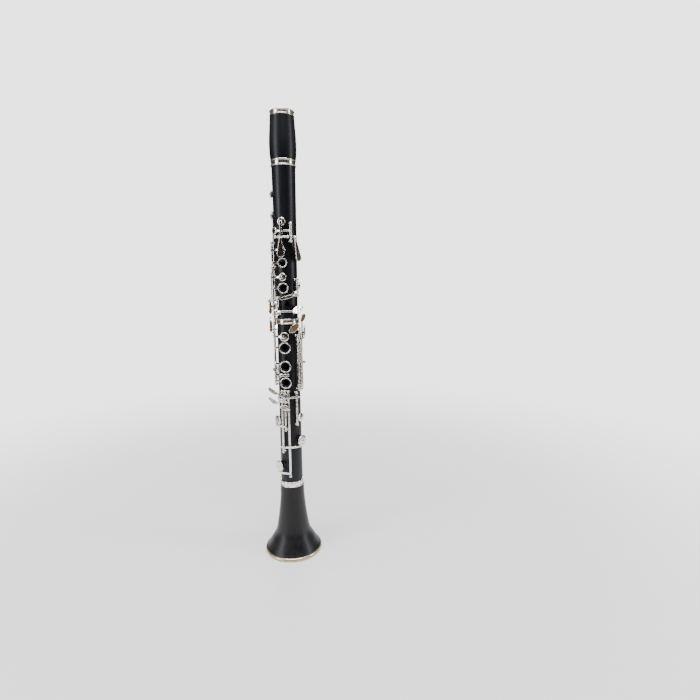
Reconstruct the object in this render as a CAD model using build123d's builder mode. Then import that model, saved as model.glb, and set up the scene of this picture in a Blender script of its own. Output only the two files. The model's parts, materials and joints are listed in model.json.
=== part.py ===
from build123d import *
import os
from math import cos, degrees, radians, sin

# B-flat clarinet, Boehm system with 17 keys and 6 rings, without mouthpiece.
#
# +Z runs up the bore axis from the bell rim to the barrel. The origin is the centre of the bell rim.
# The tone holes face -Y. An angle round the body is counted in degrees from that front line and grows
# towards +X; a radius is counted from the bore axis. Lengths are millimetres.

os.makedirs("parts", exist_ok=True)

# Heights of the five sections of the instrument
BELL_TOP = 105
LOWER_TOP = 331
UPPER_TOP = 522
BARREL_TOP = 588

# Bore, sockets and tenons
BORE_RADIUS = 7.3
SOCKET_RADIUS = 12.2
CORE_RADIUS = 11.1
FIT_GAP = 0.04
BARREL_SOCKET_DEPTH = 18
TUNING_SLIDE = 3.0
TOP_TENON = 16.0
MIDDLE_TENON = 18.0
BELL_TENON = 20.0

# Outer radii of the wood
BARREL_RADII = (15.4, 17.0, 16.1)
UPPER_RADII = (13.75, 15.25)
LOWER_RADII = (15.1, 13.9)

# Rings
JOINT_RING_HEIGHT = 7.0
JOINT_RING_RADIUS = 15.5
BELL_RING_HEIGHT = 8.0
BELL_RING_RADIUS = 16.6
BELL_RIM_RADIUS = 40.0
BELL_RIM_HEIGHT = 4.5

# Pillar posts, rods and hinge tubes
BALL_RADIUS = 2.1
STEM_RADIUS = 1.25
STEM_DEPTH = 1.5
FLANGE_RADIUS = 1.6
ROD_RADIUS = 0.8
TUBE_BORE = 0.85
TUBE_RADIUS = 1.5
END_PLAY = 0.1
TUBE_LINE = 18.2

# Key metal
ARM_LOW = 17.5
ARM_HIGH = 20.5
ARM_THICKNESS = 1.3
ARM_WIDTH = 2.6
TOUCH_THICKNESS = 1.3
PAD_THICKNESS = 1.7
CUP_WALL = 0.7
CUP_GRIP = 1.0
CUP_SHOULDER = 0.8
CUP_DOME = 0.45
SEAT_RISE = 0.7
PAD_CLEARANCE = 0.04
OPEN_LIFT = 2.4
RING_THICKNESS = 1.8
RING_WIDTH = 1.5
RING_LIFT = 2.0
RING_ARM_RISE = 1.0
CHIMNEY_RISE = 1.5

# Hinge lines round the body
RING_LINE = -62
SIDE_LINE_FRONT = -106
SIDE_LINE_BACK = -120
THUMB_LINE = -150
G_SHARP_LINE = 38
E_FLAT_LINE = 64
C_SHARP_LINE = -27
B_LINE = -37
E_LINE = 10
F_SHARP_LINE = -4.5
A_FLAT_LINE = 46
F_LINE = -19
LEVER_LINES = (60, 74, 88)
LOW_KEY_LINE = 18.0


def direction(angle):
    """Unit vector that points out of the body at an angle from the front."""
    return Vector(sin(radians(angle)), -cos(radians(angle)), 0)


def spot(z, angle, radius):
    """Point at a height, an angle from the front and a radius from the bore axis."""
    return direction(angle) * radius + Vector(0, 0, z)


def facing(z, angle, radius, turn=0):
    """Plane that lies across the outward direction, with its Y along the body, turned in itself."""
    across = Vector(cos(radians(angle)), sin(radians(angle)), 0)
    x_dir = across * cos(radians(turn)) + Vector(0, 0, 1) * sin(radians(turn))
    return Plane(origin=spot(z, angle, radius), x_dir=x_dir, z_dir=direction(angle))


def section(z, angle):
    """Plane across the bore, with its Y along the outward direction."""
    return Plane(origin=(0, 0, z), x_dir=(cos(radians(angle)), sin(radians(angle)), 0),
                 z_dir=(0, 0, -1))


def wood_radius(z):
    """Outer radius of the upper or lower joint at a height."""
    if z > LOWER_TOP:
        (low, high), base, top = UPPER_RADII, LOWER_TOP, UPPER_TOP
    else:
        (low, high), base, top = LOWER_RADII, BELL_TOP, LOWER_TOP
    return low + (high - low) * (z - base) / (top - base)


def pad_bottom(z, lift):
    """Radius of the underside of a pad that stands a lift above its seat."""
    return wood_radius(z) + SEAT_RISE + lift


def column(z_low, z_high, angle, radius_from_axis, radius, mode=Mode.ADD):
    """Round bar along the body."""
    centre = spot(z_low, angle, radius_from_axis)
    with BuildSketch(Plane.XY.offset(z_low)) as outline:
        with Locations((centre.X, centre.Y)):
            Circle(radius)
    extrude(outline.sketch, amount=z_high - z_low, mode=mode)


def sector(z_low, z_high, angle_from, angle_to, radius_in, radius_out, mode=Mode.ADD):
    """Slab between two radii and two angles round the bore axis."""
    middle = (angle_from + angle_to) / 2
    corners = [spot(0, a, r) for r, a in
               ((radius_in, angle_from), (radius_in, middle), (radius_in, angle_to),
                (radius_out, angle_to), (radius_out, middle), (radius_out, angle_from))]
    with BuildSketch(Plane.XY.offset(z_low)) as outline:
        with BuildLine():
            ThreePointArc(corners[0], corners[1], corners[2])
            Line(corners[2], corners[3])
            ThreePointArc(corners[3], corners[4], corners[5])
            Line(corners[5], corners[0])
        make_face()
    extrude(outline.sketch, amount=z_high - z_low, mode=mode)


def half_angle(width, radius):
    """Degrees that half of a width spans at a radius."""
    return degrees(width / 2 / radius)


def leg(z, angle, radius_in, radius_out, width=ARM_WIDTH, height=ARM_WIDTH):
    """Short radial bar that joins pieces at different radii."""
    half = half_angle(width, radius_out)
    sector(z - height / 2, z + height / 2, angle - half, angle + half, radius_in, radius_out)


def arm(z, angle_from, angle_to, radius=ARM_LOW, width=ARM_WIDTH):
    """Flat arm that follows the body from one angle to another."""
    sector(z - width / 2, z + width / 2, angle_from, angle_to, radius, radius + ARM_THICKNESS)


def cup(z, angle, pad_radius, lift):
    """Pad cup with a low dome and a small raised rim, open towards the body."""
    top = pad_bottom(z, lift) + PAD_THICKNESS
    outer = pad_radius + CUP_WALL
    shoulder = top + CUP_SHOULDER
    edge = outer - CUP_WALL
    dome_radius = (edge ** 2 + CUP_DOME ** 2) / (2 * CUP_DOME)
    half_way = shoulder + CUP_DOME - dome_radius + (dome_radius ** 2 - (edge / 2) ** 2) ** 0.5
    with BuildSketch(section(z, angle)) as outline:
        with BuildLine():
            Polyline((0, top), (pad_radius, top), (pad_radius, top - CUP_GRIP), (outer, top - CUP_GRIP),
                     (outer, top + 0.3), (edge, shoulder))
            ThreePointArc((edge, shoulder), (edge / 2, half_way), (0, shoulder + CUP_DOME))
            Line((0, shoulder + CUP_DOME), (0, top))
        make_face()
    revolve(outline.sketch, axis=Axis((0, 0, z), direction(angle)))


def pad_room(z, angle, pad_radius, lift):
    """Clear the space of the pad, and what is below it, out of the key metal."""
    with BuildSketch(facing(z, angle, 0)) as outline:
        Circle(pad_radius)
    extrude(outline.sketch, amount=pad_bottom(z, lift) + PAD_THICKNESS, mode=Mode.SUBTRACT)


def make_pad(name, z, angle, pad_radius, lift):
    """Felt and skin pad that fills its cup and seals the tone hole."""
    low = pad_bottom(z, lift)
    high = low + PAD_THICKNESS
    with BuildPart() as pad:
        with BuildSketch(section(z, angle)) as outline:
            with BuildLine():
                Polyline((0, low), (pad_radius - 0.5, low), (pad_radius, low + 0.4), (pad_radius, high),
                         (0, high), (0, low))
            make_face()
        revolve(outline.sketch, axis=Axis((0, 0, z), direction(angle)))
    pad.part.label = name
    export_step(pad.part, f"parts/{name}.step")


def finger_ring(z, angle, outer_radius, bottom):
    """Slim round finger ring with a domed section."""
    inner_radius = outer_radius - RING_WIDTH
    crown = bottom + RING_THICKNESS
    with BuildSketch(section(z, angle)) as outline:
        with BuildLine():
            Polyline((inner_radius, crown - 0.5), (inner_radius, bottom), (outer_radius, bottom),
                     (outer_radius, crown - 0.5))
            ThreePointArc((outer_radius, crown - 0.5), (outer_radius - RING_WIDTH / 2, crown),
                          (inner_radius, crown - 0.5))
        make_face()
    revolve(outline.sketch, axis=Axis((0, 0, z), direction(angle)))


def tube(posts, angle, line_radius=TUBE_LINE):
    """Hinge tube that turns on a steel rod between two posts."""
    end = BALL_RADIUS + END_PLAY
    column(posts[0] + end, posts[1] - end, angle, line_radius, TUBE_RADIUS)


def tube_bore(posts, angle, line_radius=TUBE_LINE):
    """Bore of a hinge tube, cut last through everything that is soldered to it."""
    column(*posts, angle, line_radius, TUBE_BORE, mode=Mode.SUBTRACT)


def teardrop(z, angle, radius, length, width, turn, tip=0.35, thickness=TOUCH_THICKNESS):
    """Flat touch piece, round at one end and slim at the other, turned in its own plane."""
    with BuildSketch(facing(z, angle, radius, turn)) as outline:
        with Locations((0, length / 2 - width / 2)):
            Circle(width / 2)
        with Locations((0, -length / 2 + width * tip)):
            Circle(width * tip)
        make_hull()
    extrude(outline.sketch, amount=thickness)


def leaf(z, angle, radius, length, width, turn, thickness=TOUCH_THICKNESS):
    """Flat touch piece with two pointed ends, turned in its own plane."""
    with BuildSketch(facing(z, angle, radius, turn)) as outline:
        with BuildLine():
            ThreePointArc((-length / 2, 0), (0, width / 2), (length / 2, 0))
            ThreePointArc((length / 2, 0), (0, -width / 2), (-length / 2, 0))
        make_face()
        fillet(outline.vertices(), radius=width * 0.3)
    extrude(outline.sketch, amount=thickness)


def post(z, angle, line_radius=TUBE_LINE):
    """Pillar post: ball on a turned stem, screwed into the wood."""
    with BuildSketch(section(z, angle)) as outline:
        start = wood_radius(z) - STEM_DEPTH
        surface = wood_radius(z) + 0.1
        with BuildLine():
            Polyline((0, start), (STEM_RADIUS, start), (STEM_RADIUS, surface), (FLANGE_RADIUS, surface),
                     (FLANGE_RADIUS, surface + 0.5), (STEM_RADIUS - 0.1, surface + 0.9),
                     (STEM_RADIUS - 0.1, line_radius), (0, line_radius), (0, start))
        make_face()
    revolve(outline.sketch, axis=Axis((0, 0, z), direction(angle)))
    with BuildSketch(section(z, angle)) as ball:
        with BuildLine():
            ThreePointArc((0, line_radius - BALL_RADIUS), (BALL_RADIUS, line_radius),
                          (0, line_radius + BALL_RADIUS))
            Line((0, line_radius + BALL_RADIUS), (0, line_radius - BALL_RADIUS))
        make_face()
    revolve(ball.sketch, axis=Axis((0, 0, z), direction(angle)))


# ---------------------------------------------------------------- tone holes and posts
# Padded holes: height, angle, pad radius, hole radius, lift of the pad at rest
REGISTER_PAD = (497, 180, 3.9, 1.6, PAD_CLEARANCE)
A_PAD = (454, 0, 4.5, 2.8, PAD_CLEARANCE)
G_SHARP_PAD = (443, -38, 4.0, 2.6, PAD_CLEARANCE)
VENT_PAD = (419, 0, 3.9, 2.4, 1.6)
MIDDLE_PAD = (385, 0, 4.3, 2.6, 2.0)
SIDE_PADS = ((378, -84, 3.2, 2.2, PAD_CLEARANCE), (397.5, -86, 3.4, 2.2, PAD_CLEARANCE),
             (463, -80, 3.9, 2.5, PAD_CLEARANCE), (490, -86, 4.3, 2.7, PAD_CLEARANCE))
E_FLAT_PAD = (374, 98, 3.9, 2.4, PAD_CLEARANCE)
C_SHARP_PAD = (347, -86, 4.0, 2.6, PAD_CLEARANCE)
TOP_RING_PAD = (308, 0, 5.4, 3.6, 2.0)
B_PAD = (262, -86, 3.9, 2.4, PAD_CLEARANCE)
F_SHARP_PAD = (193, -44, 6.2, 4.2, 2.6)
A_FLAT_PAD = (196, 72, 5.0, 3.4, PAD_CLEARANCE)
F_PAD = (164, 64, 6.8, 4.8, 3.2)
E_PAD = (128, -40, 7.2, 5.2, 3.2)
UPPER_PADS = (REGISTER_PAD, A_PAD, G_SHARP_PAD, VENT_PAD, MIDDLE_PAD, *SIDE_PADS, E_FLAT_PAD, C_SHARP_PAD)
LOWER_PADS = (TOP_RING_PAD, B_PAD, F_SHARP_PAD, A_FLAT_PAD, F_PAD, E_PAD)

# Finger holes: height, angle, ring outer radius (0 where the finger closes the bare wood), hole radius
UPPER_HOLES = ((403, 0, 6.2, 2.9), (371, 0, 7.0, 3.6), (350, 16, 0, 2.8))
LOWER_HOLES = ((293, 0, 7.8, 4.0), (268, 0, 7.8, 4.2), (246, 0, 7.8, 3.8))
THUMB_HOLE = (396, 180, 7.0, 3.3)
CHIMNEY_GAP = 1.0

# Transverse hinges of the two rocking keys
A_PIVOT_Z, A_PIVOT_Y, A_PIVOT_X = 435, 17.8, 8.0
REGISTER_PIVOT_Z, REGISTER_PIVOT_Y, REGISTER_PIVOT_X = 440, 18.2, 6.0

# Lengthwise hinges: heights of the posts, from low to high
RING_POSTS = (336.5, 397.5, 428.5)
SIDE_FRONT_POSTS = (355.5, 385.5, 468.5)
SIDE_BACK_POSTS = (337.5, 404.5, 495.5)
THUMB_POSTS = (384.5, 411)
G_SHARP_POSTS = (430, 452)
E_FLAT_POSTS = (361, 382)
C_SHARP_POSTS = (337.5, 358.5)
LOWER_RING_POSTS = (242.5, 316.5)
B_POSTS = (252.5, 266.5)
LEVER_POSTS = (236, 308.5)
E_POSTS = (115, 234.5)
F_SHARP_POSTS = (181, 234.5)
F_POSTS = (150, 234.5)
A_FLAT_POSTS = (188, 232)
UPPER_LINES = ((RING_LINE, TUBE_LINE, RING_POSTS), (SIDE_LINE_FRONT, TUBE_LINE, SIDE_FRONT_POSTS),
               (SIDE_LINE_BACK, TUBE_LINE, SIDE_BACK_POSTS), (THUMB_LINE, TUBE_LINE, THUMB_POSTS),
               (G_SHARP_LINE, TUBE_LINE, G_SHARP_POSTS), (E_FLAT_LINE, TUBE_LINE, E_FLAT_POSTS),
               (C_SHARP_LINE, TUBE_LINE, C_SHARP_POSTS))
LOWER_LINES = ((RING_LINE, TUBE_LINE, LOWER_RING_POSTS), (B_LINE, TUBE_LINE, B_POSTS),
               *((line, TUBE_LINE, LEVER_POSTS) for line in LEVER_LINES),
               (E_LINE, LOW_KEY_LINE, E_POSTS), (F_SHARP_LINE, LOW_KEY_LINE, F_SHARP_POSTS),
               (F_LINE, LOW_KEY_LINE, F_POSTS), (A_FLAT_LINE, LOW_KEY_LINE, A_FLAT_POSTS))

# Thumb rest: a plate with a hook, held by two wood screws, turned a little to one side of the back
REST_Z, REST_LENGTH, REST_WIDTH, REST_PLATE, REST_ANGLE = 268, 30, 13, 1.6, 152
REST_SCREWS = (258.5, 277.5)
SCREW_RADIUS = 1.3
SCREW_DEPTH = 4


def drill(z, angle, radius, depth_from, depth_to, mode=Mode.SUBTRACT):
    """Round hole or boss across the body, between two radii."""
    with BuildSketch(facing(z, angle, depth_from)) as outline:
        Circle(radius)
    extrude(outline.sketch, amount=depth_to - depth_from, mode=mode)


def tone_holes(pads, rings):
    """Seats, chimneys and holes of one joint."""
    for z, angle, pad_radius, hole_radius, lift in pads:
        drill(z, angle, pad_radius - 0.7, wood_radius(z) - 3, wood_radius(z) + SEAT_RISE, Mode.ADD)
    for z, angle, ring_radius, hole_radius in rings:
        if ring_radius:
            chimney = ring_radius - RING_WIDTH - CHIMNEY_GAP
            drill(z, angle, chimney, wood_radius(z) - 3, wood_radius(z) + CHIMNEY_RISE, Mode.ADD)
    for z, angle, outer_radius, hole_radius, *lift in (*pads, *rings):
        drill(z, angle, hole_radius, 0, wood_radius(z) + 5)


def post_places(lines):
    """Height, angle and ball radius from the axis of every post on a set of hinge lines."""
    return [(z, angle, line_radius) for angle, line_radius, heights in lines for z in heights]


def cross_posts(z, across, out, back=False):
    """The two posts of a hinge that lies across the body."""
    reach = (across ** 2 + out ** 2) ** 0.5
    turn = Vector(0, 1, 0).get_angle(Vector(across, out, 0))
    middle = 180 if back else 0
    return [(z, middle + turn, reach), (z, middle - turn, reach)]


UPPER_POSTS = (post_places(UPPER_LINES) + cross_posts(A_PIVOT_Z, A_PIVOT_X, A_PIVOT_Y)
               + cross_posts(REGISTER_PIVOT_Z, REGISTER_PIVOT_X, REGISTER_PIVOT_Y, back=True))
LOWER_POSTS = post_places(LOWER_LINES)


def post_pockets(places):
    """Holes in the wood that the posts are screwed into."""
    for z, angle, line_radius in places:
        drill(z, angle, STEM_RADIUS, wood_radius(z) - STEM_DEPTH, wood_radius(z) + 3)


def cross_bar(z, x_from, x_to, y, radius, mode=Mode.ADD):
    """Round bar across the body."""
    with BuildSketch(Plane(origin=(x_from, y, z), x_dir=(0, 1, 0), z_dir=(1, 0, 0))) as outline:
        Circle(radius)
    extrude(outline.sketch, amount=x_to - x_from, mode=mode)


# ---------------------------------------------------------------- wood
with BuildPart() as upper_joint:
    top_tenon = UPPER_TOP + TOP_TENON
    low_tenon = LOWER_TOP - MIDDLE_TENON
    with BuildSketch(Plane.XZ):
        with BuildLine():
            Polyline((BORE_RADIUS, low_tenon), (CORE_RADIUS, low_tenon), (CORE_RADIUS, LOWER_TOP),
                     (UPPER_RADII[0], LOWER_TOP), (UPPER_RADII[1], UPPER_TOP), (CORE_RADIUS, UPPER_TOP),
                     (CORE_RADIUS, top_tenon), (BORE_RADIUS, top_tenon), (BORE_RADIUS, low_tenon))
        make_face()
    revolve(axis=Axis.Z)
    tone_holes(UPPER_PADS, UPPER_HOLES)
    post_pockets(UPPER_POSTS)
    drill(THUMB_HOLE[0], 180, THUMB_HOLE[3] + 0.8, 0, wood_radius(THUMB_HOLE[0]) + 5)

with BuildPart() as lower_joint:
    low_tenon = BELL_TOP - BELL_TENON
    wood_top = LOWER_TOP - JOINT_RING_HEIGHT
    socket_floor = LOWER_TOP - MIDDLE_TENON - FIT_GAP
    ring_seat = JOINT_RING_RADIUS - 1.6
    with BuildSketch(Plane.XZ):
        with BuildLine():
            Polyline((BORE_RADIUS, low_tenon), (CORE_RADIUS, low_tenon), (CORE_RADIUS, BELL_TOP),
                     (LOWER_RADII[0], BELL_TOP), (wood_radius(wood_top), wood_top), (ring_seat - 1, wood_top),
                     (ring_seat - 1, LOWER_TOP), (SOCKET_RADIUS, LOWER_TOP), (SOCKET_RADIUS, socket_floor),
                     (BORE_RADIUS, socket_floor), (BORE_RADIUS, low_tenon))
        make_face()
    revolve(axis=Axis.Z)
    tone_holes(LOWER_PADS, LOWER_HOLES)
    post_pockets(LOWER_POSTS)
    for height in REST_SCREWS:
        drill(height, REST_ANGLE, SCREW_RADIUS, wood_radius(height) - SCREW_DEPTH, wood_radius(height) + 3)

with BuildPart() as lower_joint_ring:
    with BuildSketch(Plane.XZ) as outline:
        with BuildLine():
            Polyline((ring_seat - 1, wood_top), (JOINT_RING_RADIUS - 0.6, wood_top),
                     (JOINT_RING_RADIUS, wood_top + 1.2), (JOINT_RING_RADIUS - 0.5, wood_top + 2),
                     (JOINT_RING_RADIUS - 0.5, LOWER_TOP - 2), (JOINT_RING_RADIUS, LOWER_TOP - 1.2),
                     (JOINT_RING_RADIUS - 0.4, LOWER_TOP), (ring_seat - 1, LOWER_TOP),
                     (ring_seat - 1, wood_top))
        make_face()
    revolve(axis=Axis.Z)

with BuildPart() as tenon_corks:
    for start, length in ((UPPER_TOP + 3, TOP_TENON - 4), (LOWER_TOP - MIDDLE_TENON + 2, MIDDLE_TENON - 4),
                          (BELL_TOP - BELL_TENON + 2, BELL_TENON - 4)):
        with BuildSketch(Plane.XY.offset(start)) as outline:
            Circle(SOCKET_RADIUS - FIT_GAP)
            Circle(CORE_RADIUS, mode=Mode.SUBTRACT)
        extrude(outline.sketch, amount=length)

# Barrel: a bellied tube with a socket for the mouthpiece and one for the upper joint
BARREL_LOW = UPPER_TOP + 0.2
BARREL_RING_HEIGHTS = (8.0, 6.5)
BARREL_BOSS = 14.2
with BuildPart() as barrel:
    low_wood = BARREL_LOW + BARREL_RING_HEIGHTS[0]
    high_wood = BARREL_TOP - BARREL_RING_HEIGHTS[1]
    belly = 545
    with BuildSketch(Plane.XZ):
        with BuildLine():
            Line((BARREL_RADII[2], low_wood), (BARREL_BOSS, low_wood))
            Line((BARREL_BOSS, low_wood), (BARREL_BOSS, BARREL_LOW))
            Line((BARREL_BOSS, BARREL_LOW), (SOCKET_RADIUS, BARREL_LOW))
            Line((SOCKET_RADIUS, BARREL_LOW), (SOCKET_RADIUS, top_tenon + TUNING_SLIDE))
            Line((SOCKET_RADIUS, top_tenon + TUNING_SLIDE), (BORE_RADIUS, top_tenon + TUNING_SLIDE))
            Line((BORE_RADIUS, top_tenon + TUNING_SLIDE), (BORE_RADIUS, BARREL_TOP - BARREL_SOCKET_DEPTH))
            Line((BORE_RADIUS, BARREL_TOP - BARREL_SOCKET_DEPTH),
                 (SOCKET_RADIUS, BARREL_TOP - BARREL_SOCKET_DEPTH))
            Line((SOCKET_RADIUS, BARREL_TOP - BARREL_SOCKET_DEPTH), (SOCKET_RADIUS, BARREL_TOP))
            Line((SOCKET_RADIUS, BARREL_TOP), (BARREL_BOSS - 0.6, BARREL_TOP))
            Line((BARREL_BOSS - 0.6, BARREL_TOP), (BARREL_BOSS - 0.6, high_wood))
            Line((BARREL_BOSS - 0.6, high_wood), (BARREL_RADII[0], high_wood))
            Spline((BARREL_RADII[0], high_wood), (BARREL_RADII[1], belly), (BARREL_RADII[2], low_wood))
        make_face()
    revolve(axis=Axis.Z)


def socket_ring(low, high, inner, outer):
    """Metal ring with two rounded beads and a flat band between them."""
    with BuildSketch(Plane.XZ) as outline:
        with BuildLine():
            Polyline((inner, low), (outer - 0.5, low), (outer, low + 0.7), (outer - 0.1, low + 1.5),
                     (outer - 0.5, low + 2.0), (outer - 0.5, high - 2.0), (outer - 0.1, high - 1.5),
                     (outer, high - 0.7), (outer - 0.5, high), (inner, high), (inner, low))
        make_face()
    revolve(outline.sketch, axis=Axis.Z)


with BuildPart() as barrel_bottom_ring:
    socket_ring(BARREL_LOW, low_wood, BARREL_BOSS, BARREL_RADII[2] + 0.1)

with BuildPart() as barrel_top_ring:
    socket_ring(high_wood, BARREL_TOP, BARREL_BOSS - 0.6, BARREL_RADII[0] + 0.2)

# Bell: a flared outside and inside, with a socket at the top and a metal ring round the rim
# Radius and height of its walls, between the ends
BELL_OUTSIDE = ((16.9, 80), (18.5, 63), (20.8, 45.5), (24.2, 28.5), (30.3, 17))
BELL_INSIDE = ((24.0, 16), (16.4, 38), (12.4, 62))
BELL_SOCKET_Z = BELL_TOP - BELL_TENON - FIT_GAP
RIM_INSIDE = 33.5
with BuildPart() as bell:
    bell_wood_top = BELL_TOP - BELL_RING_HEIGHT
    boss = BELL_RING_RADIUS - 2.2
    with BuildSketch(Plane.XZ):
        with BuildLine():
            Spline((BELL_RING_RADIUS - 0.1, bell_wood_top), *BELL_OUTSIDE,
                   (BELL_RIM_RADIUS - 1.6, BELL_RIM_HEIGHT), tangents=((0.02, -1), (1.1, -1)))
            Polyline((BELL_RIM_RADIUS - 1.6, BELL_RIM_HEIGHT), (BELL_RIM_RADIUS - 3, BELL_RIM_HEIGHT),
                     (BELL_RIM_RADIUS - 3, 0), (RIM_INSIDE, 0))
            Spline((RIM_INSIDE, 0), *BELL_INSIDE, (11.0, BELL_SOCKET_Z), tangents=((-1, 1.1), (-0.03, 1)))
            Polyline((11.0, BELL_SOCKET_Z), (SOCKET_RADIUS, BELL_SOCKET_Z), (SOCKET_RADIUS, BELL_TOP),
                     (boss, BELL_TOP), (boss, bell_wood_top), (BELL_RING_RADIUS - 0.1, bell_wood_top))
        make_face()
    revolve(axis=Axis.Z)

with BuildPart() as bell_socket_ring:
    socket_ring(bell_wood_top, BELL_TOP, boss, BELL_RING_RADIUS)

with BuildPart() as bell_rim_ring:
    with BuildSketch(Plane.XZ):
        with BuildLine():
            Line((BELL_RIM_RADIUS - 3, 0), (BELL_RIM_RADIUS - 1.2, 0))
            ThreePointArc((BELL_RIM_RADIUS - 1.2, 0), (BELL_RIM_RADIUS, 2.2),
                          (BELL_RIM_RADIUS - 1.6, BELL_RIM_HEIGHT))
            Line((BELL_RIM_RADIUS - 1.6, BELL_RIM_HEIGHT), (BELL_RIM_RADIUS - 3, BELL_RIM_HEIGHT))
            Line((BELL_RIM_RADIUS - 3, BELL_RIM_HEIGHT), (BELL_RIM_RADIUS - 3, 0))
        make_face()
    revolve(axis=Axis.Z)

# ---------------------------------------------------------------- fixed fittings
with BuildPart() as thumb_tube:
    thumb_z, _, _, thumb_bore = THUMB_HOLE
    drill(thumb_z, 180, thumb_bore + 0.8, BORE_RADIUS + 0.5, wood_radius(thumb_z) + CHIMNEY_RISE, Mode.ADD)
    drill(thumb_z, 180, thumb_bore, 0, wood_radius(thumb_z) + CHIMNEY_RISE + 1)

with BuildPart() as thumb_rest:
    with BuildSketch(facing(REST_Z, REST_ANGLE, wood_radius(REST_Z) - 1.5)) as plate:
        RectangleRounded(REST_WIDTH, REST_LENGTH, 4)
    extrude(plate.sketch, amount=1.5 + REST_PLATE)
    outward = direction(REST_ANGLE)
    hook_plane = Plane(origin=(0, 0, REST_Z - 2), x_dir=outward.cross(Vector(0, 0, 1)), z_dir=(0, 0, 1))
    with BuildSketch(hook_plane) as hook:
        with BuildLine():
            ThreePointArc((-5.2, 15), (-4.6, 24), (2.2, 31.5))
            Line((2.2, 31.5), (5.0, 29.8))
            ThreePointArc((5.0, 29.8), (4.4, 24), (5.2, 15))
            Line((5.2, 15), (-5.2, 15))
        make_face()
    extrude(hook.sketch, amount=2.4)
    with BuildSketch(Plane.XY) as wood_shape:
        Circle(wood_radius(REST_Z) + 0.12)
    extrude(wood_shape.sketch, amount=LOWER_TOP, mode=Mode.SUBTRACT)
    for height in REST_SCREWS:
        drill(height, REST_ANGLE, SCREW_RADIUS, 10, 25)

with BuildPart() as thumb_rest_screws:
    for height in REST_SCREWS:
        drill(height, REST_ANGLE, SCREW_RADIUS, wood_radius(height) - SCREW_DEPTH,
              wood_radius(REST_Z) + REST_PLATE, Mode.ADD)
        head = wood_radius(REST_Z) + REST_PLATE
        drill(height, REST_ANGLE, SCREW_RADIUS + 1.1, head, head + 1.2, Mode.ADD)
        with BuildSketch(facing(height, REST_ANGLE, head + 0.7)) as slot:
            Rectangle(6, 0.6)
        extrude(slot.sketch, amount=1, mode=Mode.SUBTRACT)


# ---------------------------------------------------------------- posts, rods and springs
def rod_holes(lines, radius, mode):
    """The straight line of every rod, as metal or as a hole through the posts."""
    for angle, line_radius, heights in lines:
        column(heights[0] - BALL_RADIUS + 0.4, heights[-1] + BALL_RADIUS - 0.4, angle, line_radius, radius,
               mode=mode)


def cross_rods(radius, mode):
    """The two rods that lie across the upper joint."""
    ends = BALL_RADIUS - 0.4
    cross_bar(A_PIVOT_Z, -A_PIVOT_X - ends, A_PIVOT_X + ends, -A_PIVOT_Y, radius, mode)
    cross_bar(REGISTER_PIVOT_Z, -REGISTER_PIVOT_X - ends, REGISTER_PIVOT_X + ends, REGISTER_PIVOT_Y, radius,
              mode)


with BuildPart() as upper_posts:
    for place in UPPER_POSTS:
        post(*place)
    rod_holes(UPPER_LINES, ROD_RADIUS, Mode.SUBTRACT)
    cross_rods(ROD_RADIUS, Mode.SUBTRACT)

with BuildPart() as lower_posts:
    for place in LOWER_POSTS:
        post(*place)
    rod_holes(LOWER_LINES, ROD_RADIUS, Mode.SUBTRACT)

with BuildPart() as upper_rods:
    rod_holes(UPPER_LINES, ROD_RADIUS, Mode.ADD)
    cross_rods(ROD_RADIUS, Mode.ADD)

with BuildPart() as lower_rods:
    rod_holes(LOWER_LINES, ROD_RADIUS, Mode.ADD)

# Needle springs: a blued steel wire from the foot of a post, below the tube: height, angle, way along z
SPRING_RADIUS, SPRING_LENGTH, SPRING_LEVEL = 0.25, 9, 1.0
SPRINGS = (*((z, RING_LINE, -1) for z in (*RING_POSTS[1:], LOWER_RING_POSTS[1])),
           *((z, SIDE_LINE_FRONT, -1) for z in SIDE_FRONT_POSTS[1:]),
           *((z, SIDE_LINE_BACK, -1) for z in SIDE_BACK_POSTS[1:]),
           (THUMB_POSTS[1], THUMB_LINE, -1), (G_SHARP_POSTS[1], G_SHARP_LINE, -1),
           (E_FLAT_POSTS[1], E_FLAT_LINE, -1), (C_SHARP_POSTS[1], C_SHARP_LINE, -1), (B_POSTS[1], B_LINE, -1),
           *((LEVER_POSTS[0], line, 1) for line in LEVER_LINES), (E_POSTS[0], E_LINE, 1),
           (F_SHARP_POSTS[0], F_SHARP_LINE, 1), (F_POSTS[0], F_LINE, 1), (A_FLAT_POSTS[0], A_FLAT_LINE, 1))
with BuildPart() as needle_springs:
    for z, angle, way in SPRINGS:
        low = min(z, z + way * SPRING_LENGTH)
        column(low, low + SPRING_LENGTH, angle, wood_radius(z) + SPRING_LEVEL, SPRING_RADIUS)
    for z, angle, way in SPRINGS:
        drill(z, angle, FLANGE_RADIUS + 0.05, wood_radius(z) - STEM_DEPTH, TUBE_LINE)


# ---------------------------------------------------------------- keys of the upper joint
def finish_key(posts, angle, pads, line_radius=TUBE_LINE):
    """Clear the pad spaces and the tube bore of a key on a lengthwise hinge."""
    for z, pad_angle, pad_radius, _, lift in pads:
        pad_room(z, pad_angle, pad_radius, lift)
    tube_bore(posts, angle, line_radius)


def cup_top(place):
    """Radius of the middle of a cup's dome."""
    z, _, _, _, lift = place
    return pad_bottom(z, lift) + PAD_THICKNESS + CUP_SHOULDER + CUP_DOME


def key_cup(place):
    """Cup of a padded hole."""
    z, angle, pad_radius, _, lift = place
    cup(z, angle, pad_radius, lift)


def cup_arm(place, z, line_angle, level=None):
    """Arm from a hinge tube to the top of a cup."""
    top = cup_top(place)
    radius = top - 0.75 if level is None else level
    arm(z, line_angle, place[1], radius)
    if level is not None:
        leg(z, place[1], top - 0.9, level + 0.2)
        leg(z, line_angle, TUBE_LINE, level + 0.2)
    if abs(z - place[0]) > 1:
        low, high = sorted((z, place[0]))
        half = half_angle(ARM_WIDTH, radius)
        sector(low - 1, high + 1, place[1] - half, place[1] + half, top - 0.9, top + 0.5)


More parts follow.
